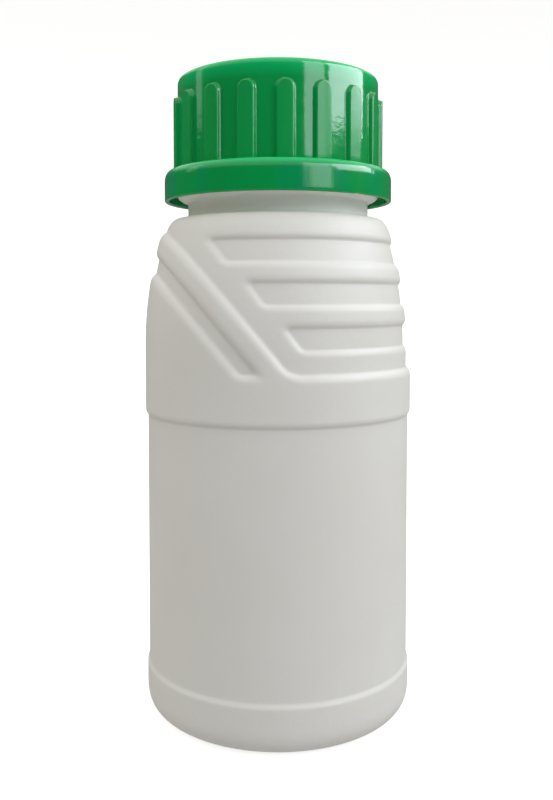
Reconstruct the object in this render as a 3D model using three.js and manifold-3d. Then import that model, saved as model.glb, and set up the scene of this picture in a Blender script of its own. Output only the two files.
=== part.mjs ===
// A 500 ml blow-moulded bottle with a raised grip pattern on its shoulder, a ribbed screw cap,
// the cap's tamper band, and the sealing disc inside the cap.
// Millimetres, +Z up. The origin is on the axis, in the plane that the bottle stands on.
// The front of the bottle faces -Y, and +X is to its right.
import * as THREE from "three";
import { mergeVertices } from "three/addons/utils/BufferGeometryUtils.js";
import Module from "manifold-3d";

const wasm = await Module();
wasm.setup();

// ---------------------------------------------------------------- driving dimensions
const R = 36; // radius of the straight label panel
const SEG = 48; // facets round the bottle
const WALL = 1.1; // blow-moulded wall

// Body, from the standing plane up.
const BASE_R = 36.5; // foot ring
const CORNER_W = 7.2; // bottom corner, across
const CORNER_H = 7.3; // bottom corner, up
const CORNER_N = 2.55; // exponent of that corner
const FOOT_IN = 26.6; // inner edge of the flat standing ring
const PUSH_UP = 3.2; // height of the domed base
const FOOT_TOP = 12.6; // top of the foot ring
const PANEL_BOTTOM = 14.4;
const PANEL_TOP = 81.5;
const BAND_Z = 83.2; // where the band above the panel is at full width
const BAND_R = 36.68;
const TAPER_Z = 100.08; // the upper body curves inwards from here
const TAPER_K = 1 / (2 * 2.84 * R);
const SHOULDER_Z = 129.6;
const SHOULDER_TOP = 134.38;
const SHOULDER_R = 27.7; // where the shoulder corner has become flat
const SHOULDER_N = 1.62;

// Relief on the upper body: three levels, each moulded straight back along one direction.
const DRAW_AZ = 6.9; // degrees from the front, turned towards +X
const LEVEL_1 = 1.19; // first recess, below the outermost surface
const LEVEL_0 = 2.05; // the channels, below the outermost surface
const SLOPE = -1.199; // all slanting edges
const RECESS_Z = 2.614 * R; // lower edge of the recess
const RECESS_FILLET = 6;

// Neck.
const COLUMN_R = 24.8;
const FLANGE_R = 27.6;
const FINISH_R = 23.3; // outer wall that carries the thread
const BORE_R = 21.1;
const LIP_Z = 168.9;

// Thread, right-handed.
const LEAD = 4.5;
const THREAD_TURNS = 1.9;
const THREAD_Z = 155.6; // middle of the bottle's thread at its lower end
const THREAD_AZ = 0; // start of the thread
const THREAD_BELOW = 1.65; // how far the cap's thread lies under it

// Cap.
const CAP_R = 27.54;
const CAP_IN = 25.75;
const CAP_TOP = 172.4;
const CAP_CEILING = 170.5;
const CAP_BOTTOM = 147.5;
const CAP_CORNER = 1.8;
const RIBS = 18;
const RIB_PHASE = 3.75; // degrees, first rib from the front
const RIB_R = 28.8;
const RIB_W = 4.7;
const RIB_TOP = 167.1;

// Tamper band.
const RING_R = 31.2;
const RING_IN = 29.9;
const RING_BOTTOM = 139.2;
const RING_TOP = 147.2; // inside its rim, just under the cap

// Sealing disc.
const DISC_R = 25.2;
const DISC_BOTTOM = 169.2;
const DISC_TOP = 170.2;

// ---------------------------------------------------------------- solids
const v2 = (p) => new THREE.Vector2(p[0], p[1]);

function solid(geometry) {
  const g = geometry.index ? geometry.toNonIndexed() : geometry.clone();
  g.deleteAttribute("normal");
  g.deleteAttribute("uv");
  const m = mergeVertices(g, 1e-3);
  const tri = [];
  for (let i = 0; i < m.index.count; i += 3) {
    const [a, b, c] = m.index.array.slice(i, i + 3);
    if (a !== b && b !== c && c !== a) tri.push(a, b, c); // leaves out those that close to a line on the axis
  }
  const made = new wasm.Manifold(
    new wasm.Mesh({
      numProp: 3,
      vertProperties: new Float32Array(m.attributes.position.array),
      triVerts: new Uint32Array(tri),
    }),
  );
  if (made.volume() < 0) throw new Error("inside out");
  return made;
}

// A solid of revolution from (radius, height) pairs that start and end on the axis, or close.
// The pairs run upwards on the outside. A facet edge lies on each of the X and Y axes.
function turned(profile, segments = SEG) {
  const g = new THREE.LatheGeometry(profile.map(v2), segments);
  g.rotateX(Math.PI / 2); // the lathe's own axis is Y
  return solid(g);
}

function meshOf(s, name, material) {
  const m = s.getMesh();
  const n = m.numProp;
  const position = new Float32Array(m.numVert * 3);
  for (let i = 0; i < m.numVert; i++)
    position.set(m.vertProperties.subarray(i * n, i * n + 3), i * 3);
  const g = new THREE.BufferGeometry()
    .setAttribute("position", new THREE.BufferAttribute(position, 3))
    .setIndex(new THREE.BufferAttribute(new Uint32Array(m.triVerts), 1));
  g.computeVertexNormals();
  const mesh = new THREE.Mesh(g, material);
  mesh.name = name;
  return mesh;
}

// ---------------------------------------------------------------- body of the bottle
const outermost = (z) =>
  BAND_R - (z > TAPER_Z ? (z - TAPER_Z) ** 2 * TAPER_K : 0);

// Right half of a profile, moved inwards by t along its own normal.
function inset(profile, t) {
  if (!t) return profile;
  return profile.map((p, i) => {
    const a = profile[Math.max(0, i - 1)];
    const b = profile[Math.min(profile.length - 1, i + 1)];
    const d = new THREE.Vector2(b[0] - a[0], b[1] - a[1]).normalize();
    return [Math.max(0, p[0] - d.y * t), p[1] + d.x * t];
  });
}

// Upper body with the given recess depth: it meets every other depth at the shoulder's flat top.
function upper(depth, inside) {
  const p = [];
  const heights = inside
    ? [90, 104, 117, SHOULDER_Z]
    : [90, 100.08, 106, 112, 118, 124, SHOULDER_Z];
  for (const z of heights)
    p.push([outermost(z) - depth, z]);
  const r = outermost(SHOULDER_Z) - depth;
  const a = r - SHOULDER_R;
  const h = SHOULDER_TOP - SHOULDER_Z;
  for (const deg of inside ? [35, 62, 90] : [22, 42, 60, 75, 90]) {
    const t = (deg * Math.PI) / 180;
    p.push([
      r - a + a * Math.cos(t) ** (2 / SHOULDER_N),
      SHOULDER_Z + h * Math.sin(t) ** (2 / SHOULDER_N),
    ]);
  }
  return p;
}

function lower(inside) {
  const p = [
    [0, PUSH_UP],
    [15, PUSH_UP * 0.93],
    [22, PUSH_UP * 0.6],
    [25, 0.7],
    [FOOT_IN, 0],
  ];
  for (const deg of inside ? [0, 30, 60, 90] : [0, 18, 36, 54, 72, 90]) {
    const t = (deg * Math.PI) / 180;
    p.push([
      BASE_R - CORNER_W + CORNER_W * Math.sin(t) ** (2 / CORNER_N),
      CORNER_H - CORNER_H * Math.cos(t) ** (2 / CORNER_N),
    ]);
  }
  p.push([BASE_R, FOOT_TOP]);
  if (!inside) p.push([R + 0.12, PANEL_BOTTOM - 0.5]);
  p.push([R, PANEL_BOTTOM], [R, PANEL_TOP]);
  if (!inside)
    p.push([R + 0.35, PANEL_TOP + 0.5], [BAND_R - 0.06, BAND_Z - 0.6]);
  p.push([BAND_R, BAND_Z]);
  return p;
}

// A region of the pattern, given in the plane across the draw direction, cut right through.
function through(points, radii) {
  const n = points.length;
  const shape = new THREE.Shape();
  points.forEach((q, i) => {
    const p = v2(q);
    const a = v2(points[(i + n - 1) % n]);
    const b = v2(points[(i + 1) % n]);
    const u = a.clone().sub(p).normalize();
    const w = b.clone().sub(p).normalize();
    const r = radii[i];
    if (!r) {
      i ? shape.lineTo(p.x, p.y) : shape.moveTo(p.x, p.y);
      return;
    }
    const half = Math.acos(THREE.MathUtils.clamp(u.dot(w), -1, 1)) / 2;
    const back = r / Math.tan(half);
    const s = p.clone().addScaledVector(u, back);
    const e = p.clone().addScaledVector(w, back);
    i ? shape.lineTo(s.x, s.y) : shape.moveTo(s.x, s.y);
    shape.quadraticCurveTo(p.x, p.y, e.x, e.y);
  });
  const g = new THREE.ExtrudeGeometry(shape, {
    depth: 100,
    bevelEnabled: false,
    curveSegments: 3,
  });
  g.translate(0, 0, -50);
  g.rotateX(Math.PI / 2);
  g.rotateZ((DRAW_AZ * Math.PI) / 180);
  return solid(g);
}

// Slanting edge: height of the line at x, moved up by g across itself.
const slant = (a, x, g = 0) => a * R + SLOPE * x + g * Math.hypot(1, SLOPE);
const slantX = (a, z, g = 0) =>
  (z - a * R - g * Math.hypot(1, SLOPE)) / SLOPE;

// The bottle's body, or with t the space inside it, whose recesses are t wider all round.
function body(t) {
  const inside = t > 0;
  const outside = [...lower(inside), ...upper(0, inside)];
  const p = inset(outside, t);
  p[0][0] = 0;
  const top = p[p.length - 1];
  p.push([0, top[1]]);
  const full = turned(p);
  const shell = (depth) => {
    const q = inset(upper(depth, inside), t);
    const z1 = q[q.length - 1][1];
    const ring = [...q, [60, z1], [60, q[0][1]], q[0]].reverse();
    return turned(ring);
  };
  const g = t;
  const zr = RECESS_Z - g;
  const far = 48;
  const high = 140;
  const recess = through(
    [
      [slantX(2.558, zr, -g), zr],
      [far, zr],
      [far, high],
      [slantX(2.558, high, -g), high],
    ],
    [RECESS_FILLET, 0, 0, 0],
  );
  const groove = through(
    [
      [slantX(2.155, zr, -g), zr],
      [slantX(2.318, zr, g), zr],
      [slantX(2.318, high, g), high],
      [slantX(2.155, high, -g), high],
    ],
    [2.0, 0.9, 0, 0],
  );
  let out = full.subtract(shell(LEVEL_1).intersect(recess.add(groove)));
  let channels = null;
  // Each channel: its lower and upper edge, where its slanting end meets the lower edge, and the end's slope.
  for (const [z0, z1, x0, k] of [
    [3.38, 3.55, -17.3, 1.42],
    [3.083, 3.25, -7.9, 1.35],
    [2.778, 2.942, 1.65, 1.25],
  ]) {
    const a = z0 * R - g;
    const b = z1 * R + g;
    const endX = (z) => x0 - (z - z0 * R + g * Math.hypot(1, k)) / k;
    const one = through(
      [
        [endX(a), a],
        [far, a],
        [far, b],
        [endX(b), b],
      ],
      [2.4, 0, 0, 1.0],
    );
    channels = channels ? channels.add(one) : one;
  }
  return out.subtract(shell(LEVEL_0).intersect(channels));
}

// Neck with its column, lower flange, locking bead and lip.
const neck = turned([
  [0, SHOULDER_TOP - 0.6],
  [COLUMN_R + 1.2, SHOULDER_TOP - 0.6],
  [COLUMN_R + 0.3, SHOULDER_TOP + 0.25],
  [COLUMN_R, SHOULDER_TOP + 0.9],
  [COLUMN_R, 139.0],
  [COLUMN_R + 0.9, 139.2],
  [FLANGE_R - 0.7, 139.9],
  [FLANGE_R, 140.4],
  [FLANGE_R, 140.9],
  [COLUMN_R, 141.4],
  [COLUMN_R, 144.0],
  [27.1, 144.2],
  [27.2, 144.7],
  [FINISH_R, 147.8],
  [FINISH_R, LIP_Z - 0.7],
  [FINISH_R - 0.7, LIP_Z],
  [0, LIP_Z],
]);
const bore = turned([
  [0, SHOULDER_TOP - 5],
  [BORE_R + 1.6, SHOULDER_TOP - 5],
  [BORE_R + 1.6, SHOULDER_TOP - 1.4],
  [BORE_R, SHOULDER_TOP + 2.2],
  [BORE_R, LIP_Z - 0.5],
  [BORE_R + 0.6, LIP_Z + 0.1],
  [BORE_R + 0.6, LIP_Z + 2],
  [0, LIP_Z + 2],
]);

// A screw thread: a section swept along a helix whose ends fade into the wall.
// inward < 0 stands out of a neck, inward > 0 stands in from a cap.
function thread(rootR, crestR, z0, az0, turns) {
  const steps = Math.round(turns * 24);
  const out = crestR > rootR ? 1 : -1;
  const sink = 0.5; // depth of the root inside the wall
  const wide = 2.5;
  const narrow = 0.9;
  const g = new THREE.CylinderGeometry(1, 1, 1, 4, steps, false);
  // Rebuild the cylinder's four-sided skin as the swept section: its caps close both ends.
  const pos = g.attributes.position;
  const corner = [
    [-1, -1],
    [1, -1],
    [1, 1],
    [-1, 1],
  ];
  for (let i = 0; i < pos.count; i++) {
    const s = pos.getY(i) + 0.5; // 0 to 1 along the thread
    const x = pos.getX(i);
    const z = pos.getZ(i);
    const centre = Math.hypot(x, z) < 1e-6;
    const k =
      ((Math.round(Math.atan2(x, z) / (Math.PI / 2)) % 4) + 4) % 4;
    const fade = Math.min(1, (Math.min(s, 1 - s) * turns) / 0.12 + 0.02);
    const a = az0 + s * turns * 2 * Math.PI;
    const c = centre ? [0, 0] : corner[k];
    const rIn = rootR - out * sink;
    const rOut = rootR + (crestR - rootR) * fade;
    const r = c[0] < 0 ? rIn : c[0] > 0 ? rOut : (rIn + rOut) / 2;
    const h = (c[0] < 0 ? wide : c[0] > 0 ? narrow : 0) / 2;
    const height = z0 + s * turns * LEAD + out * c[1] * h;
    pos.setXYZ(i, r * Math.sin(a), -r * Math.cos(a), height);
  }
  const flip = solidEither(g);
  return flip;
}

// The same as solid(), for a skin that may come out with its faces turned in.
function solidEither(geometry) {
  try {
    return solid(geometry);
  } catch (e) {
    if (e.message !== "inside out") throw e;
    const index = geometry.index.array;
    for (let i = 0; i < index.length; i += 3)
      [index[i + 1], index[i + 2]] = [index[i + 2], index[i + 1]];
    return solid(geometry);
  }
}

const bottleThread = thread(
  FINISH_R,
  24.9,
  THREAD_Z,
  THREAD_AZ,
  THREAD_TURNS,
);

const bottle = body(0)
  .add(neck)
  .add(bottleThread)
  .subtract(body(WALL))
  .subtract(bore);

// ---------------------------------------------------------------- cap
function cap() {
  const outside = [
    [0, CAP_BOTTOM],
    [CAP_R, CAP_BOTTOM],
  ];
  for (const deg of [0, 25, 50, 75, 90]) {
    const t = (deg * Math.PI) / 180;
    outside.push([
      CAP_R - CAP_CORNER + CAP_CORNER * Math.cos(t) ** (2 / 3.3),
      CAP_TOP - CAP_CORNER + CAP_CORNER * Math.sin(t) ** (2 / 3.3),
    ]);
  }
  outside.push([0, CAP_TOP]);
  let s = turned(outside);
  // Each rib is a straight bar with a round top, cut back to the ribs' outer radius.
  for (let k = 0; k < RIBS; k++) {
    const shape = new THREE.Shape();
    const w = RIB_W / 2;
    shape.moveTo(-w, CAP_BOTTOM);
    shape.lineTo(w, CAP_BOTTOM);
    shape.lineTo(w, RIB_TOP - w);
    shape.absarc(0, RIB_TOP - w, w, 0, Math.PI, false);
      const g = new THREE.ExtrudeGeometry(shape, {
      depth: RIB_R - CAP_R + 1.7,
      bevelEnabled: false,
      curveSegments: 8,
    });
    // Draw the front face in a little, so that the bar's sides lean.
    const pos = g.attributes.position;
    for (let i = 0; i < pos.count; i++) {
      if (pos.getZ(i) < 1) continue;
      const x = pos.getX(i);
      const y = pos.getY(i);
      pos.setX(i, x * 0.86);
      if (y > RIB_TOP - w - 0.01)
        pos.setY(i, RIB_TOP - w + (y - RIB_TOP + w) * 0.86);
    }
    g.translate(0, 0, CAP_R - 1.7);
    g.rotateX(Math.PI / 2); // out of the cap is now -Y, its height is +Z
    g.rotateZ(((RIB_PHASE + (360 / RIBS) * k) * Math.PI) / 180);
    s = s.add(solid(g));
  }
  const hollow = turned([
    [0, CAP_BOTTOM - 1],
    [CAP_IN + 0.5, CAP_BOTTOM - 1],
    [CAP_IN + 0.5, CAP_BOTTOM],
    [CAP_IN, CAP_BOTTOM + 0.8],
    [CAP_IN, CAP_CEILING],
    [0, CAP_CEILING],
  ]);
  // The cap's thread lies under the bottle's, with its upper flank just clear of it.
  const own = thread(
    CAP_IN,
    23.9,
    THREAD_Z - THREAD_BELOW,
    THREAD_AZ,
    THREAD_TURNS,
  );
  return s.subtract(hollow).add(own);
}

// ---------------------------------------------------------------- tamper band
const band = turned([
  [RING_IN, RING_BOTTOM + 0.25],
  [RING_IN + 0.2, RING_BOTTOM],
  [RING_R - 0.4, RING_BOTTOM],
  [RING_R, RING_BOTTOM + 0.45],
  [RING_R, 144.9],
  [RING_R - 0.1, 145.8],
  [RING_R - 0.45, 146.65],
  [RING_R - 0.95, 147.25],
  [RING_R - 1.5, 147.45],
  [29.2, RING_TOP],
  [27.6, RING_TOP],
  [27.8, 146.6],
  [29.2, 145.2],
  [RING_IN, 144.3],
  [26.1, 143.7],
  [26.0, 143.3],
  [26.1, 142.9],
  [RING_IN, 142.0],
  [RING_IN, RING_BOTTOM + 0.25],
]);

const disc = turned([
  [0, DISC_BOTTOM],
  [DISC_R, DISC_BOTTOM],
  [DISC_R, DISC_TOP],
  [0, DISC_TOP],
], 48);

// ---------------------------------------------------------------- scene graph
const white = new THREE.MeshStandardMaterial({
  color: 0xdedcd6,
  roughness: 0.42,
  metalness: 0,
});
const green = new THREE.MeshStandardMaterial({
  color: 0x0b8a45,
  roughness: 0.3,
  metalness: 0,
});
const greenBand = new THREE.MeshStandardMaterial({
  color: 0x0b8a45,
  roughness: 0.24,
  metalness: 0,
});
const foam = new THREE.MeshStandardMaterial({
  color: 0xf1f0ea,
  roughness: 0.7,
  metalness: 0,
});

const container = new THREE.Group();
container.name = "container";
const closure = new THREE.Group();
closure.name = "closure";
closure.add(meshOf(cap(), "cap", green));
closure.add(meshOf(disc, "sealing_disc", foam));
container.add(meshOf(bottle, "bottle", white));
container.add(meshOf(band, "tamper_band", greenBand));
container.add(closure);

export default container;
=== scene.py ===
import math

import bpy
import numpy as np
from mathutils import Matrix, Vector


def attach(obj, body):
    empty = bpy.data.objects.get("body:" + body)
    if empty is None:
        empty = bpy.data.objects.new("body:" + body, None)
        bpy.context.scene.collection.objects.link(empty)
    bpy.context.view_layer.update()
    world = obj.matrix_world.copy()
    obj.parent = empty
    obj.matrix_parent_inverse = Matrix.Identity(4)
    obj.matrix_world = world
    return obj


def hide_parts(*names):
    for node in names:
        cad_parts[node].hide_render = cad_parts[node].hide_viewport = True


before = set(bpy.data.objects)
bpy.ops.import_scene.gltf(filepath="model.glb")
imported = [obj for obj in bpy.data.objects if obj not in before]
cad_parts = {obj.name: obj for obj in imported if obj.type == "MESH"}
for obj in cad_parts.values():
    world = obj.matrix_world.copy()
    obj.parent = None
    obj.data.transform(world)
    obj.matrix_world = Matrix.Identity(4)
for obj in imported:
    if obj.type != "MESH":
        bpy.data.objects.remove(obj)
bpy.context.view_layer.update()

MM = 0.001
TAU = 2 * math.pi


# ---------------------------------------------------------------- helpers
def ring_mesh(name, rings, theta=None, closed_loop=False):
    """A closed skin from rings of points, each a pair of arrays, radius and height, in millimetres.
    A ring may have half or double the columns of the one before it. The ends close on the axis, or,
    with closed_loop, the last ring joins the first."""
    co, start, faces4, faces3 = [], [], [], []
    total = 0
    for r, z in rings:
        n = len(r)
        th = np.arange(n) * TAU / n if theta is None else theta
        co.append(np.stack([r * np.sin(th), -r * np.cos(th), z], -1))
        start.append(total)
        total += n
    pairs = len(rings) if closed_loop else len(rings) - 1
    for i in range(pairs):
        k = (i + 1) % len(rings)
        a, b, na, nb = start[i], start[k], len(rings[i][0]), len(rings[k][0])
        if na == nb:
            j = np.arange(na)
            jn = (j + 1) % na
            faces4.append(np.stack([a + j, a + jn, b + jn, b + j], -1))
        elif na == 2 * nb:
            j = np.arange(nb)
            jn = (j + 1) % nb
            a0, a1, a2, b0, b1 = a + 2 * j, a + 2 * j + 1, a + 2 * jn, b + j, b + jn
            faces3 += [np.stack(t, -1) for t in ((a0, a1, b0), (a1, b1, b0), (a1, a2, b1))]
        else:
            j = np.arange(na)
            jn = (j + 1) % na
            a0, a1, b0, b1, b2 = a + j, a + jn, b + 2 * j, b + 2 * j + 1, b + 2 * jn
            faces3 += [np.stack(t, -1) for t in ((a0, a1, b1), (a0, b1, b0), (a1, b2, b1))]
    if not closed_loop:
        n0, n1, top = len(rings[0][0]), len(rings[-1][0]), start[-1]
        co.append(np.array([[0, 0, rings[0][1].mean()], [0, 0, rings[-1][1].mean()]]))
        j, k = np.arange(n0), np.arange(n1)
        faces3.append(np.stack([np.full(n0, total), (j + 1) % n0, j], -1))
        faces3.append(np.stack([np.full(n1, total + 1), top + k, top + (k + 1) % n1], -1))
    co = np.concatenate(co)
    quads = np.concatenate(faces4)
    tris = np.concatenate(faces3) if faces3 else np.zeros((0, 3), int)
    me = bpy.data.meshes.new(name)
    nq, nt = len(quads), len(tris)
    me.vertices.add(len(co))
    me.vertices.foreach_set("co", (co * MM).astype(np.float32).ravel())
    loops = np.concatenate([quads.ravel(), tris.ravel()]).astype(np.int32)
    me.loops.add(len(loops))
    me.loops.foreach_set("vertex_index", loops)
    me.polygons.add(nq + nt)
    starts = np.concatenate([np.arange(nq) * 4, nq * 4 + np.arange(nt) * 3]).astype(np.int32)
    me.polygons.foreach_set("loop_start", starts)
    me.update(calc_edges=True)
    me.validate()
    me.polygons.foreach_set("use_smooth", np.ones(nq + nt, bool))
    ob = bpy.data.objects.new(name, me)
    bpy.context.scene.collection.objects.link(ob)
    return ob


def step(d, out, inn):
    """0 on the high side, 1 in the recess: a long soft roll-off from -out, steepest just before the crisp inner
    corner at inn."""
    u = np.clip((d + out) / (out + inn), 0, 1)
    k, e = 0.965, 0.05
    v = np.where(u < 1 - e, u, 1 - e / 2 - (1 - u) ** 2 / (2 * e)) / (1 - e / 2)
    return (1 - np.sqrt(1 - (k * v) ** 2)) / (1 - math.sqrt(1 - k * k))


def smooth(x):
    x = np.clip(x, 0, 1)
    return x * x * (3 - 2 * x)


def round_max(d1, d2, r):
    """Larger of two signed distances where the inner corner of their regions' overlap is rounded by r."""
    e1, e2 = np.maximum(r + d1, 0), np.maximum(r + d2, 0)
    return np.minimum(-r, np.maximum(d1, d2)) + np.hypot(e1, e2)


# ---------------------------------------------------------------- the bottle
R = 36.0
BAND_R = 36.67
TAPER_Z = 100.08
TAPER_K = 1 / (2 * 2.84 * R)
SHOULDER_Z = 129.6
SHOULDER_TOP = 134.38
DRAW = math.radians(6.9)
LEVEL_1 = 1.19
LEVEL_0 = 2.05
SLOPE = 1.199
NORM = math.hypot(1, SLOPE)
LEAD = 4.5
THREAD_Z = 155.6
TURNS = 1.9


def outermost(z):
    return BAND_R - np.maximum(z - TAPER_Z, 0) ** 2 * TAPER_K


def recess_depth(theta, r, z):
    """How far the surface lies below the outermost level. theta, r and z are arrays of one shape."""
    x = r * np.sin(theta - DRAW)

    def above(a):  # signed distance above a slanting line
        return (z - a * R + SLOPE * x) / NORM

    low = z - 2.614 * R
    # Signed distances: positive is inside the recess.
    inner = -round_max(-above(2.558), -low, 2.2)
    groove = -round_max(-above(2.155), -low, 0.7)
    groove = -round_max(-groove, above(2.318), 1.5)
    level1 = LEVEL_1 * np.maximum(step(inner, 2.0, 0.35), step(groove, 1.9, 0.35))
    deep = np.full(z.shape, -50.0)
    for z0, z1, x0, k in ((3.38, 3.55, -17.3, 1.42), (3.083, 3.25, -7.9, 1.35), (2.778, 2.942, 1.65, 1.25)):
        side = (z - z0 * R + k * (x - x0)) / math.hypot(1, k)
        one = -round_max(-side, -(z - z0 * R), 0.9)
        one = -round_max(-one, -(z1 * R - z), 1.7)
        deep = np.maximum(deep, one)
    return level1 + (LEVEL_0 - LEVEL_1) * step(deep, 1.6, 0.35)


def helix(theta, z, z0, half_crest, half_root):
    """Height, 0 to 1, of a thread ridge at each point."""
    n = np.round((z - z0) / LEAD - theta / TAU)
    phi = theta + TAU * n
    phi = np.where(phi < 0, phi + TAU, phi)
    phi = np.where(phi > TAU * TURNS, phi - TAU, phi)
    inside = (phi >= 0) & (phi <= TAU * TURNS)
    dz = np.abs(z - (z0 + LEAD * phi / TAU))
    fade = smooth(np.minimum(phi, TAU * TURNS - phi) / (TAU * 0.09))
    flank = smooth((half_root - dz) / (half_root - half_crest))
    return np.where(inside, fade * flank, 0.0)


def make_bottle():
    few, many = 200, 400
    theta = np.arange(few) * TAU / few
    fine = np.arange(many) * TAU / many
    rings = []

    def ring(r, z, cols=few):
        rings.append(tuple(np.broadcast_to(np.asarray(v, float), (cols,)).copy() for v in (r, z)))

    seam_az = DRAW + math.pi / 2
    # The pinch-off line across the base, where the mould halves closed on the tube.
    for r in (1.2, 3, 5, 7, 9, 11, 13, 15, 17, 18.5, 20, 21.5, 22.8, 24, 25, 25.8, 26.4):
        z = 3.2 * (1 - (r / 26.7) ** 4.2)
        across = np.abs(r * np.sin(theta - seam_az))
        line = 0.3 * smooth((0.75 - across) / 0.5) * float(smooth(np.array((21.5 - r) / 1.5)))
        ring(r, max(z, 0.0) - line)
    ring(26.9, 0.02)
    for r in (27.4, 28.4, 29.3):
        ring(r, 0.0)
    for t in np.linspace(0, 90, 17)[1:]:
        a = math.radians(t)
        ring(29.3 + 7.2 * math.sin(a) ** (2 / 2.55), 7.3 - 7.3 * max(math.cos(a), 0) ** (2 / 2.55))
    for z in (8.5, 10, 11.4, 12.3):
        ring(36.5, z)
    for u in np.linspace(0, 1, 9):
        z = 12.6 + 1.7 * u
        ring(36.5 - 0.5 * float(smooth(np.array(u))), z)
    for z in (15, 17, 20, 26, 32, 38, 44, 50, 56, 62, 68, 74, 79, 80.8):
        ring(36.0, z)
    for u in np.linspace(1, 0, 11):
        z = 81.45 + 1.6 * (1 - u)
        ring(36.0 + (BAND_R - 36.0) * (1 - float(step(np.array(u * 1.6 - 1.3), 1.3, 0.3))), z)
    for z in (83.6, 85, 87, 88.5, 90):
        ring(BAND_R, z)
    for z in np.concatenate([[90.4, 90.8], np.linspace(91.2, SHOULDER_Z, 110)]):
        base = float(outermost(np.array(z)))
        d = recess_depth(fine, np.full(many, base), np.full(many, z))
        ring(base - d, z, many)
    # Shoulder corner, from the leaning wall to the flat round the neck.
    base = float(outermost(np.array(SHOULDER_Z)))
    lean = -2 * (SHOULDER_Z - TAPER_Z) * TAPER_K
    k = 1.97 / math.hypot(1, lean)
    for t in np.linspace(0, 1, 19)[1:]:
        b0, b1, b2, b3 = (1 - t) ** 3, 3 * (1 - t) ** 2 * t, 3 * (1 - t) * t * t, t**3
        z = (b0 + b1) * SHOULDER_Z + b1 * k + (b2 + b3) * SHOULDER_TOP
        r0 = b0 * base + b1 * (base + lean * k) + b2 * 29.65 + b3 * 27.7
        d = recess_depth(fine, np.full(many, base + lean * (z - SHOULDER_Z)), np.full(many, z))
        ring(r0 - d * (b0 + b1), z, many)
    wall = [
        (26.6, 134.42), (25.7, 134.5), (25.2, 134.72), (24.92, 135.05), (24.8, 135.5), (24.8, 136.6), (24.8, 137.8),
        (24.8, 138.7), (24.9, 138.95), (25.2, 139.12), (25.8, 139.3), (26.5, 139.62), (27.1, 140.0), (27.45, 140.3),
        (27.58, 140.55), (27.5, 140.85), (27.2, 141.0), (26.0, 141.25), (25.0, 141.45), (24.8, 141.65), (24.8, 142.8),
        (24.8, 143.9), (25.0, 144.05), (26.8, 144.15), (27.1, 144.3), (27.18, 144.6), (27.0, 144.95), (25.2, 146.4),
        (23.7, 147.5), (23.4, 147.85), (23.3, 148.3), (23.3, 150.5), (23.3, 153.0),
    ]
    for r, z in wall:
        ring(r, z)
    for z in np.arange(154.0, 166.2, 0.42):
        ring(23.3 + 1.55 * helix(theta, np.full(few, z), THREAD_Z, 0.42, 1.1), z)
    for r, z in ((23.3, 167.2), (23.3, 168.2), (23.18, 168.6), (22.85, 168.85), (22.5, 168.9), (21.8, 168.9), (21.4, 168.8),
                 (21.18, 168.55), (21.1, 168.1), (21.1, 160), (21.1, 150), (21.1, 140), (21.1, 137.0), (21.4, 135.6),
                 (22.3, 134.2), (24.0, 133.4), (26.0, 133.2), (27.6, 132.6), (28.8, 131.4)):
        ring(r, z)
    # The inside of the wall follows the pattern.
    for z in np.concatenate([[129.7], np.linspace(128.6, 91.4, 27)]):
        base = float(outermost(np.array(z)))
        d = recess_depth(theta, np.full(few, base), np.full(few, z))
        ring(base - 1.1 - d * min(1.0, (133.0 - z) / 3.4), z)
    for r, z in ((35.57, 88), (35.57, 84), (34.9, 81.5), (34.85, 78), (34.85, 60), (34.85, 40), (34.85, 20), (34.9, 15), (35.3, 12),
                 (35.35, 8), (34.9, 5), (33.6, 3), (31.6, 1.7), (29.3, 1.15), (27.3, 1.2), (25.5, 1.8), (23, 2.9),
                 (19, 3.8), (12, 4.25), (4, 4.35)):
        ring(r, z)
    return ring_mesh("bottle_shell", rings)


# ---------------------------------------------------------------- the cap
CAP_R = 27.54
RIB_R = 28.79
RIB_TOP = 167.1
CAP_BOTTOM = 147.5
CAP_TOP = 172.4
PERIOD = math.radians(20)
PHASE = math.radians(3.75)


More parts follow.
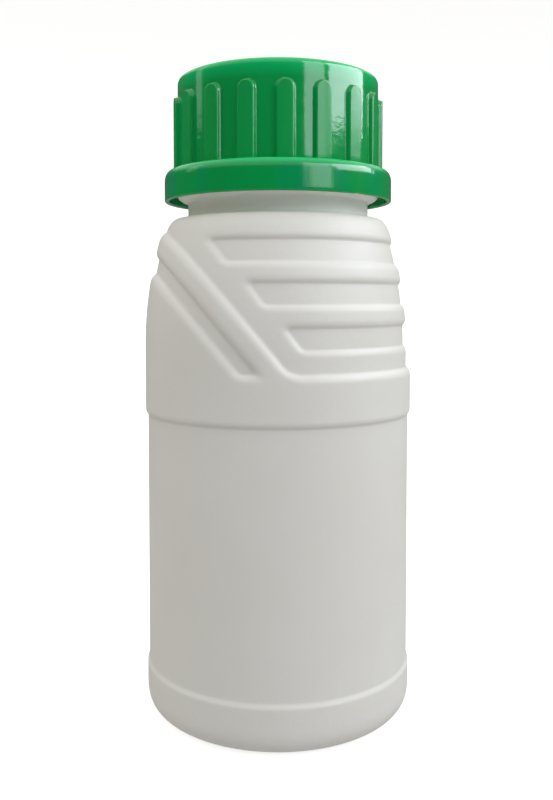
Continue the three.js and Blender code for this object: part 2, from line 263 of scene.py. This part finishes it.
def make_cap():
    half = CAP_R * math.sin(PERIOD / 2)
    inside = np.concatenate([np.linspace(-2.75, 2.75, 29), [3.3, 4.0]])
    offs = np.concatenate([[-4.0, -3.3], inside])
    offs = np.unique(np.round(offs, 4))
    one = np.arcsin(offs / CAP_R)
    theta = np.concatenate([PHASE + PERIOD * k + one for k in range(18)] )
    mid = PHASE + PERIOD * (np.arange(18) + 0.5)
    theta = np.sort(np.concatenate([theta, mid]) % TAU)
    cols = len(theta)
    rows_r, rows_z = [], []

    def ring(r, z):
        rows_r.append(np.broadcast_to(np.asarray(r, float), (cols,)).copy())
        rows_z.append(np.broadcast_to(np.asarray(z, float), (cols,)).copy())

    delta = (theta - PHASE + PERIOD / 2) % PERIOD - PERIOD / 2
    u = CAP_R * np.sin(delta)

    def rib(z):
        w = 2.4
        over = np.maximum(z - (RIB_TOP - w), 0)
        d = np.hypot(u, over) - w if over > 0 else np.abs(u) - w
        t = np.clip(-d / 0.5, 0, 1)  # 0 at the foot of the flank, 1 where the face begins
        rise = np.where(t < 0.72, t / 0.72 * 0.9, 0.9 + 0.1 * np.sin((t - 0.72) / 0.28 * math.pi / 2))
        # the face is very slightly crowned
        face = 1 - 0.03 * (np.abs(u) / 2.1) ** 2
        return (RIB_R - CAP_R) * rise * face

    def skirt(z, r=CAP_R):
        h = rib(z)
        return np.where(h > 0, r + h, r)

    # Lower edge, from the inside outwards, then up the skirt.
    for r, z in ((20.0, 170.5), (24.6, 170.5), (25.4, 170.42), (25.7, 170.1), (25.75, 169.6), (25.75, 168), (25.75, 166), (25.75, 164.4)):
        ring(r, z)
    for z in np.arange(163.9, 151.6, -0.34):
        ring(25.75 - 1.8 * helix(theta, np.full(cols, z), THREAD_Z - 1.65, 0.42, 1.2), z)
    for r, z in ((25.75, 149.6), (25.75, 148.4), (25.95, 148.0), (26.2, 147.62), (26.4, 147.5)):
        ring(r, z)
    base = skirt(CAP_BOTTOM)
    ring(np.minimum(base - 0.12, 60), CAP_BOTTOM)
    ring(base - 0.02, CAP_BOTTOM + 0.05)
    ring(base, CAP_BOTTOM + 0.2)
    for z in (149, 152, 155, 158, 161.5):
        ring(skirt(z), z)
    for z in np.arange(163.6, RIB_TOP + 0.25, 0.13):
        ring(skirt(z), z)
    for z in (167.8, 168.8, 169.6, 170.2):
        ring(CAP_R, z)
    for t in np.linspace(0, 90, 15)[1:]:
        a = math.radians(t)
        ring(CAP_R - 1.9 + 1.9 * max(math.cos(a), 0) ** (2 / 3.0), CAP_TOP - 1.9 + 1.9 * math.sin(a) ** (2 / 3.0))
    # Top: flat, with the small mark of the injection point.
    for r, z in ((24.0, 172.39), (18, 172.38), (10, 172.36), (4.0, 172.36), (3.2, 172.34), (2.9, 172.1), (2.6, 172.0),
                 (1.3, 172.0), (1.0, 172.05), (0.8, 172.25), (0.4, 172.28)):
        ring(r, z)
    return ring_mesh("cap_shell", list(zip(rows_r, rows_z)), theta)


# ---------------------------------------------------------------- the tamper band
def make_band():
    cols = 360
    theta = np.arange(cols) * TAU / cols
    rng = np.random.default_rng(7)
    wave = sum(a * np.cos(k * theta + p) for k, a, p in zip((3, 5, 9), (0.02, 0.012, 0.008), rng.uniform(0, 6, 3)))
    az = np.degrees(theta)

    def bump(c, w):
        d = (az - c + 180) % 360 - 180
        return smooth(1 - np.abs(d) / w)

    # Small torn nick and flash on the lower edge, right of the front.
    nick = 0.34 * bump(41.5, 2.6) + 0.22 * bump(45.2, 1.6)
    prof = [
        (29.9, 139.75), (29.93, 139.45), (30.1, 139.24), (30.3, 139.2), (30.75, 139.2), (30.98, 139.25), (31.12, 139.38),
        (31.19, 139.62), (31.2, 140.1), (31.2, 141.5), (31.2, 143), (31.2, 144.3), (31.19, 144.9), (31.15, 145.35),
        (31.06, 145.8), (30.93, 146.2), (30.75, 146.58), (30.52, 146.9), (30.25, 147.17), (29.97, 147.36), (29.72, 147.44),
        (29.5, 147.43), (29.3, 147.3), (29.15, 147.2), (28.7, 147.2), (28.3, 147.2), (27.9, 147.2), (27.68, 147.15),
        (27.62, 147.0), (27.8, 146.6), (28.5, 145.85), (29.2, 145.2), (29.7, 144.75), (29.9, 144.4), (29.2, 144.15),
        (27.6, 143.95), (26.4, 143.75), (26.08, 143.55), (26.0, 143.3), (26.1, 143.05), (26.5, 142.9), (28.0, 142.5),
        (29.6, 142.1), (29.9, 141.9), (29.9, 140.8),
    ]
    rows_r, rows_z = [], []
    for r, z in prof:
        rr, zz = np.full(cols, r), np.full(cols, z)
        if z < 139.6 and r > 29.9:
            zz = zz + nick * (0.9 if r > 30.6 else 0.5)
            rr = rr - 0.12 * nick
        if z < 139.7:
            zz = zz + np.maximum(wave, 0) * 0.6
        rows_r.append(rr)
        rows_z.append(zz)
    return ring_mesh("band_shell", list(zip(rows_r, rows_z)), closed_loop=True)


def make_disc():
    cols = 180
    theta = np.arange(cols) * TAU / cols
    prof = [(2, 169.2), (20.6, 169.2), (20.9, 169.26), (21.4, 169.32), (22.6, 169.32), (23.1, 169.26), (23.4, 169.2),
            (24.9, 169.2), (25.12, 169.27), (25.18, 169.45), (25.18, 169.95), (25.1, 170.12), (24.9, 170.18), (12, 170.2), (2, 170.2)]
    r = np.array([np.full(cols, p[0]) for p in prof])
    z = np.array([np.full(cols, p[1]) for p in prof])
    return ring_mesh("disc_shell", list(zip(r, z)))


# ---------------------------------------------------------------- materials
class Nodes:
    def __init__(self, name):
        self.mat = bpy.data.materials.new(name)
        self.mat.use_nodes = True
        self.t = self.mat.node_tree
        self.b = self.t.nodes["Principled BSDF"]
        self.tc = self.t.nodes.new("ShaderNodeTexCoord")

    def new(self, kind, **inputs):
        n = self.t.nodes.new(kind)
        for k, v in inputs.items():
            n.inputs[k.replace("_", " ")].default_value = v
        return n

    def link(self, a, b):
        self.t.links.new(a, b)

    def noise(self, scale, detail=3.0, rough=0.5, stretch=(1, 1, 1)):
        m = self.t.nodes.new("ShaderNodeMapping")
        m.inputs["Scale"].default_value = stretch
        self.link(self.tc.outputs["Object"], m.inputs["Vector"])
        n = self.new("ShaderNodeTexNoise", Scale=scale, Detail=detail, Roughness=rough)
        self.link(m.outputs["Vector"], n.inputs["Vector"])
        return n.outputs["Fac"]

    def ramp(self, fac, stops):
        n = self.t.nodes.new("ShaderNodeValToRGB")
        el = n.color_ramp.elements
        while len(el) < len(stops):
            el.new(0.5)
        for e, (p, c) in zip(el, stops):
            e.position = p
            e.color = (*c, 1) if len(c) == 3 else c
        self.link(fac, n.inputs["Fac"])
        return n.outputs["Color"]

    def range(self, v, a, b, c, d):
        n = self.t.nodes.new("ShaderNodeMapRange")
        for k, x in zip(("From Min", "From Max", "To Min", "To Max"), (a, b, c, d)):
            n.inputs[k].default_value = x
        self.link(v, n.inputs["Value"])
        return n.outputs["Result"]

    def math(self, op, a, b=None):
        n = self.t.nodes.new("ShaderNodeMath")
        n.operation = op
        for i, v in enumerate((a, b)):
            if v is None:
                continue
            if isinstance(v, (int, float)):
                n.inputs[i].default_value = v
            else:
                self.link(v, n.inputs[i])
        return n.outputs["Value"]

    def mix(self, fac, a, b):
        n = self.t.nodes.new("ShaderNodeMix")
        n.data_type = "RGBA"
        self.link(fac, n.inputs["Factor"])
        for s, v in (("A", a), ("B", b)):
            i = [x for x in n.inputs if x.name == s and x.type == "RGBA"][0]
            if isinstance(v, tuple):
                i.default_value = (*v, 1)
            else:
                self.link(v, i)
        return [x for x in n.outputs if x.type == "RGBA"][0]

    def radius(self):
        s = self.t.nodes.new("ShaderNodeSeparateXYZ")
        self.link(self.tc.outputs["Object"], s.inputs[0])
        r2 = self.math("ADD", self.math("MULTIPLY", s.outputs["X"], s.outputs["X"]),
                       self.math("MULTIPLY", s.outputs["Y"], s.outputs["Y"]))
        return self.math("SQRT", r2), s.outputs["Z"]

    def bump(self, height, strength, distance, normal=None):
        n = self.new("ShaderNodeBump", Strength=strength, Distance=distance)
        self.link(height, n.inputs["Height"])
        if normal is not None:
            self.link(normal, n.inputs["Normal"])
        return n.outputs["Normal"]


def bottle_material():
    m = Nodes("bottle_white")
    b = m.b
    cloud = m.noise(28, 2.0, 0.5)
    tint = m.ramp(cloud, [(0.3, (0.80, 0.785, 0.755)), (0.7, (0.83, 0.820, 0.795))])
    # Tiny dark specks in the resin, few and far between.
    v = m.new("ShaderNodeTexVoronoi", Scale=95.0, Randomness=1.0)
    m.link(m.tc.outputs["Object"], v.inputs["Vector"])
    near = m.math("LESS_THAN", v.outputs["Distance"], 0.022)
    sep = m.t.nodes.new("ShaderNodeSeparateColor")
    m.link(v.outputs["Color"], sep.inputs["Color"])
    rare = m.math("GREATER_THAN", sep.outputs["Red"], 0.93)
    speck = m.math("MULTIPLY", near, rare)
    # Painted light: the thin neck passes more light than the walls below it, so its base colour is made paler to show
    # that light.
    rad, height = m.radius()
    painted_neck_light = m.math("MULTIPLY", m.range(height, 0.1340, 0.1352, 0.0, 1.0), m.range(rad, 0.0300, 0.0285, 0.0, 1.0))
    # Painted light: paler base colour on the neck.
    tint = m.mix(painted_neck_light, tint, (0.93, 0.95, 0.90))
    m.link(m.mix(speck, tint, (0.28, 0.26, 0.23)), b.inputs["Base Color"])
    fine = m.noise(900, 2.0, 0.55)
    coarse = m.noise(260, 2.0, 0.5)
    m.link(m.range(coarse, 0.3, 0.7, 0.46, 0.56), b.inputs["Roughness"])
    n1 = m.bump(coarse, 0.10, 0.0006)
    m.link(m.bump(fine, 0.10, 0.0002, n1), b.inputs["Normal"])
    b.inputs["IOR"].default_value = 1.5
    b.inputs["Specular IOR Level"].default_value = 0.28
    b.inputs["Subsurface Weight"].default_value = 0.35
    b.inputs["Subsurface Radius"].default_value = (1.0, 0.96, 0.86)
    b.inputs["Subsurface Scale"].default_value = 0.0022
    return m.mat


def green_material(name, streaks):
    m = Nodes(name)
    b = m.b
    rad, height = m.radius()
    cloud = m.noise(60, 2.5, 0.5, (1, 1, 0.35))
    base = m.ramp(cloud, [(0.25, (0.0, 0.315, 0.066)), (0.75, (0.0, 0.375, 0.090))])
    # Painted highlight: the rounded top edge of the translucent plastic gets a paler green where it catches the light;
    # the plastic also drifts to teal in upright flow bands.
    if streaks:
        painted_edge_highlight = m.range(height, 0.1456, 0.1472, 0.0, 1.0)
        flow = m.noise(75, 2.0, 0.5, (1, 1, 0.02))
        base = m.mix(m.range(flow, 0.50, 0.64, 0.0, 0.75), base, (0.0, 0.30, 0.16))
    else:
        painted_edge_highlight = m.math("MULTIPLY", m.range(height, 0.1675, 0.1718, 0.0, 1.0), m.range(rad, 0.0235, 0.0265, 0.0, 1.0))
    # Painted highlight: the top edge mixed towards a pale green.
    base = m.mix(painted_edge_highlight, base, (0.0, 0.56, 0.17))
    m.link(base, b.inputs["Base Color"])
    if streaks:
        lines = m.noise(420, 3.0, 0.6, (1, 1, 0.03))
        m.link(m.range(lines, 0.3, 0.75, 0.08, 0.18), b.inputs["Roughness"])
        n1 = m.bump(lines, 0.26, 0.0004)
        wavy = m.noise(160, 1.5, 0.5, (1, 1, 0.12))
        m.link(m.bump(wavy, 0.12, 0.0008, n1), b.inputs["Normal"])
    else:
        rib = m.range(rad, 0.0279, 0.0285, 0.0, 1.0)
        grain = m.noise(1500, 2.0, 0.6)
        ripple = m.noise(230, 3.0, 0.6, (1, 1, 1.6))
        glossy = m.range(ripple, 0.35, 0.75, 0.07, 0.13)
        satin = m.range(grain, 0.3, 0.7, 0.20, 0.27)
        mixr = m.t.nodes.new("ShaderNodeMix")
        mixr.data_type = "FLOAT"
        m.link(rib, mixr.inputs[0])
        m.link(glossy, mixr.inputs[2])
        m.link(satin, mixr.inputs[3])
        m.link(mixr.outputs[0], b.inputs["Roughness"])
        m.link(m.range(rad, 0.0279, 0.0285, 0.5, 0.42), b.inputs["Specular IOR Level"])
        n1 = m.bump(ripple, 0.07, 0.0006)
        m.link(m.bump(grain, 0.03, 0.0001, n1), b.inputs["Normal"])
    b.inputs["IOR"].default_value = 1.5
    b.inputs["Specular IOR Level"].default_value = 0.4
    b.inputs["Subsurface Weight"].default_value = 0.30
    b.inputs["Subsurface Radius"].default_value = (0.2, 1.0, 0.6)
    b.inputs["Subsurface Scale"].default_value = 0.0015
    return m.mat


def disc_material():
    m = Nodes("disc_white")
    cells = m.noise(1400, 3.0, 0.6)
    m.link(m.ramp(cells, [(0.3, (0.80, 0.79, 0.75)), (0.7, (0.88, 0.87, 0.84))]), m.b.inputs["Base Color"])
    m.link(m.range(cells, 0.3, 0.7, 0.55, 0.75), m.b.inputs["Roughness"])
    m.link(m.bump(cells, 0.3, 0.0002), m.b.inputs["Normal"])
    return m.mat


# ---------------------------------------------------------------- pieces
for make, node, body, slot, mat in (
    (make_bottle, "bottle", "bottle", "bottle_white", bottle_material()),
    (make_band, "tamper_band", "bottle", "band_green", green_material("band_green", True)),
    (make_cap, "cap", "cap", "cap_green", green_material("cap_green", False)),
    (make_disc, "sealing_disc", "sealing_disc", "disc_white", disc_material()),
):
    piece = make()
    piece.data.materials.append(mat)
    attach(piece, body)
    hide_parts(node)


# ---------------------------------------------------------------- floor, light and camera
def plain(name, color, emission=0.0, rough=0.8):
    mat = bpy.data.materials.new(name)
    mat.use_nodes = True
    p = mat.node_tree.nodes["Principled BSDF"]
    p.inputs["Base Color"].default_value = (*color, 1)
    p.inputs["Roughness"].default_value = rough
    p.inputs["Specular IOR Level"].default_value = 0.0
    p.inputs["Emission Color"].default_value = (1, 1, 1, 1)
    p.inputs["Emission Strength"].default_value = emission
    return mat


def backdrop():
    """A pale floor that curves up all round into a wall well away from the object."""
    pts = [(0.0, 0.0), (0.5, 0.0), (1.2, 0.0)]
    for a in np.linspace(0, 90, 13)[1:]:
        pts.append((1.2 + 0.8 * math.sin(math.radians(a)), 0.8 - 0.8 * math.cos(math.radians(a))))
    pts.append((2.0, 3.0))
    turns = 72
    verts = [(0.0, 0.0, 0.0)]
    for r, z in pts[1:]:
        verts += [(r * math.sin(TAU * i / turns), -r * math.cos(TAU * i / turns), z) for i in range(turns)]
    faces = [(0, 1 + i, 1 + (i + 1) % turns) for i in range(turns)]
    for k in range(len(pts) - 2):
        a, b = 1 + k * turns, 1 + (k + 1) * turns
        faces += [(a + i, b + i, b + (i + 1) % turns, a + (i + 1) % turns) for i in range(turns)]
    me = bpy.data.meshes.new("floor")
    me.from_pydata(verts, [], faces)
    me.polygons.foreach_set("use_smooth", [True] * len(me.polygons))
    ob = bpy.data.objects.new("floor", me)
    bpy.context.scene.collection.objects.link(ob)
    me.materials.append(plain("floor_pale", (0.80, 0.80, 0.80), 0.55))
    # It is there to be seen: the room's soft light reaches the object as if it were not.
    ob.visible_diffuse = False
    ob.visible_glossy = False
    ob.visible_shadow = False


AIM = Vector((0, 0, 0.115))


def softbox(name, az, elev, away, w, h, radiance, color=(1, 1, 1), aim=AIM):
    """A rectangular light seen from the object in the given direction, degrees from the front and above the horizon."""
    d = bpy.data.lights.new(name, "AREA")
    d.shape = "RECTANGLE"
    d.size, d.size_y, d.color = w, h, color
    d.energy = radiance * math.pi * w * h
    ob = bpy.data.objects.new(name, d)
    bpy.context.scene.collection.objects.link(ob)
    a, e = math.radians(az), math.radians(elev)
    out = Vector((math.sin(a) * math.cos(e), -math.cos(a) * math.cos(e), math.sin(e)))
    ob.location = aim + out * away
    ob.rotation_mode = "QUATERNION"
    ob.rotation_quaternion = (-out).to_track_quat("-Z", "Y")
    return ob


backdrop()
for args in (
    ("window_right_near", 45.5, 18, 0.60, 0.24, 0.44, 1.9, (0.97, 1.0, 1.0)),
    ("window_right_far", 85, 29, 0.60, 0.70, 0.36, 1.22, (0.97, 1.0, 1.0)),
    ("window_left", -85, 12, 0.60, 0.42, 0.50, 0.55, (1.0, 0.90, 0.62)),
):
    softbox(*args).visible_glossy = False
# The same windows as the glossy plastic mirrors them: brighter than what they give the room.
for name, az, low, high, width, radiance in (
    ("glint_right_near", 40, 3.5, 38, 0.24, 4.8),
    ("glint_right_far", 83, 11.2, 38, 0.56, 9.5),
    ("glint_left", -97, 11.2, 38, 0.10, 1.4),
):
    middle, tall = (low + high) / 2, 1.2 * math.tan(math.radians(high - low) / 2)
    softbox(name, az, middle, 0.60, width, tall, radiance, (0.84, 0.92, 1.0), Vector((0, 0, 0.153))).visible_diffuse = False


def studio_light():
    """The room's soft light: bright above, dim at eye level, half bright below."""
    world = bpy.data.worlds.new("studio")
    bpy.context.scene.world = world
    world.use_nodes = True
    t = world.node_tree
    at = t.nodes.new("ShaderNodeTexCoord")
    part = t.nodes.new("ShaderNodeSeparateXYZ")
    t.links.new(at.outputs["Generated"], part.inputs[0])
    up = t.nodes.new("ShaderNodeMapRange")
    up.inputs["From Min"].default_value = -1.0
    t.links.new(part.outputs["Z"], up.inputs["Value"])
    ramp = t.nodes.new("ShaderNodeValToRGB")
    stops = (
        (0.00, (0.62, 0.61, 0.60)), (0.41, (0.37, 0.36, 0.335)), (0.48, (0.085, 0.085, 0.085)),
        (0.66, (0.085, 0.085, 0.085)), (0.74, (1.18, 1.18, 1.15)), (1.00, (1.24, 1.24, 1.22)),
    )
    el = ramp.color_ramp.elements
    while len(el) < len(stops):
        el.new(0.5)
    for e, (p, c) in zip(el, stops):
        e.position = p
        e.color = (*c, 1)
    t.links.new(up.outputs["Result"], ramp.inputs["Fac"])
    t.links.new(ramp.outputs["Color"], t.nodes["Background"].inputs["Color"])
    t.nodes["Background"].inputs["Strength"].default_value = 1.0


studio_light()

cam_data = bpy.data.cameras.new("camera")
cam = bpy.data.objects.new("camera", cam_data)
bpy.context.scene.collection.objects.link(cam)
cam.location = (0, -0.2464, 0.1126)
cam.rotation_euler = (math.radians(90 - 2.58), 0, 0)
cam_data.sensor_width = 36
cam_data.sensor_fit = "AUTO"
cam_data.lens = 880.8 / 800 * 36
cam_data.shift_x = -(277.9 - 276.5) / 800
cam_data.shift_y = (339.3 - 400) / 800
cam_data.clip_start = 0.01
bpy.context.scene.camera = cam

bpy.context.scene.view_settings.view_transform = "Standard"
bpy.context.scene.view_settings.look = "None"
